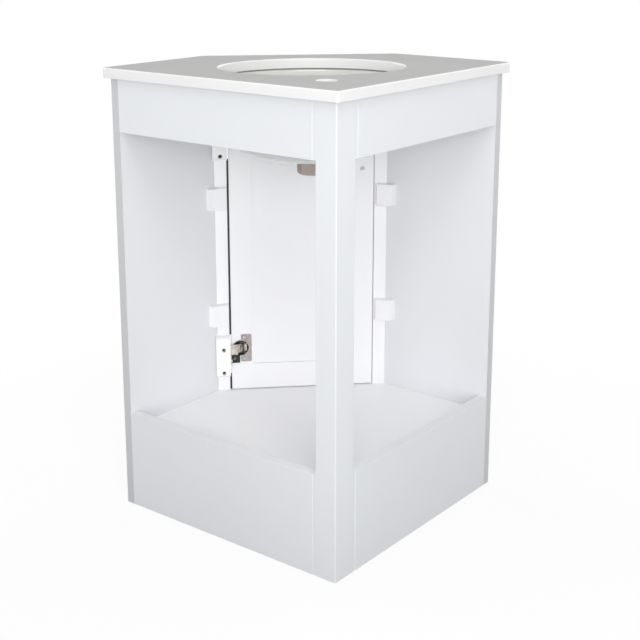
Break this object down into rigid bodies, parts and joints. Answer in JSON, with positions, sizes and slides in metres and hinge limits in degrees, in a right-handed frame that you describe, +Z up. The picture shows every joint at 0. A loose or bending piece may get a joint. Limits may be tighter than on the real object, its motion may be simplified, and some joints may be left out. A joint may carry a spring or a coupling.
{
  "type": "corner vanity unit",
  "caption": "Five-sided corner vanity cabinet with open backs, one inset door on the diagonal front, and a stone top over an undermount oval basin.",
  "frame": {"origin": "on the floor, under the middle of the whole unit", "axes": "+Z up, -Y out of the door's face, +Y towards the corner of the room, +X to the hinge side"},
  "size_m": [0.7864, 0.6079, 0.889],
  "materials": {
    "stone_top": "polished",
    "ware": "gloss",
    "sealant": "satin",
    "zinc_steel": "satin",
    "dark_steel": "satin",
    "nickel_steel": "satin",
    "lacquered_board": "satin lacquer",
    "bare_wood": "matt"
  },
  "bodies": {
    "cabinet": {"countertop": "stone_top", "basin": "ware", "basin_sealant": "sealant", "basin_clips": "zinc_steel", "basin_clip_screws": "zinc_steel", "side_panel_left": "lacquered_board", "side_panel_right": "lacquered_board", "back_rail_top_left": "lacquered_board", "back_rail_top_right": "lacquered_board", "back_rail_bottom_left": "lacquered_board", "back_rail_bottom_right": "lacquered_board", "corner_post_wide": "lacquered_board", "corner_post_narrow": "lacquered_board", "frame_stile_left": "lacquered_board", "frame_stile_right": "lacquered_board", "frame_head_rail": "lacquered_board", "toe_board": "lacquered_board", "floor_panel": "lacquered_board", "floor_cleats": "bare_wood", "joint_dowels": "bare_wood", "glue_blocks": "lacquered_board", "hinge_block_lower": "lacquered_board", "hinge_block_upper": "lacquered_board", "hinge_block_screws": "dark_steel", "hinge_arm_lower": "nickel_steel", "hinge_arm_upper": "nickel_steel", "hinge_arm_screws": "nickel_steel", "hinge_adjusters": "dark_steel"},
    "door": {"door_stile_latch": "lacquered_board", "door_stile_hinge": "lacquered_board", "door_rail_top": "lacquered_board", "door_rail_bottom": "lacquered_board", "door_panel": "lacquered_board", "hinge_cup_lower": "nickel_steel", "hinge_cup_upper": "nickel_steel", "hinge_cup_screws": "nickel_steel", "hinge_pins": "zinc_steel", "hinge_links": "nickel_steel", "knob": "nickel_steel", "knob_screw": "zinc_steel"}
  },
  "joints": [
    {"name": "door_swing", "type": "hinge", "parent": "cabinet", "child": "door", "pos_m": [0.1555, -0.27795, 0.5], "axis": [0, 0, 1], "range_deg": [0, 105]}
  ]
}
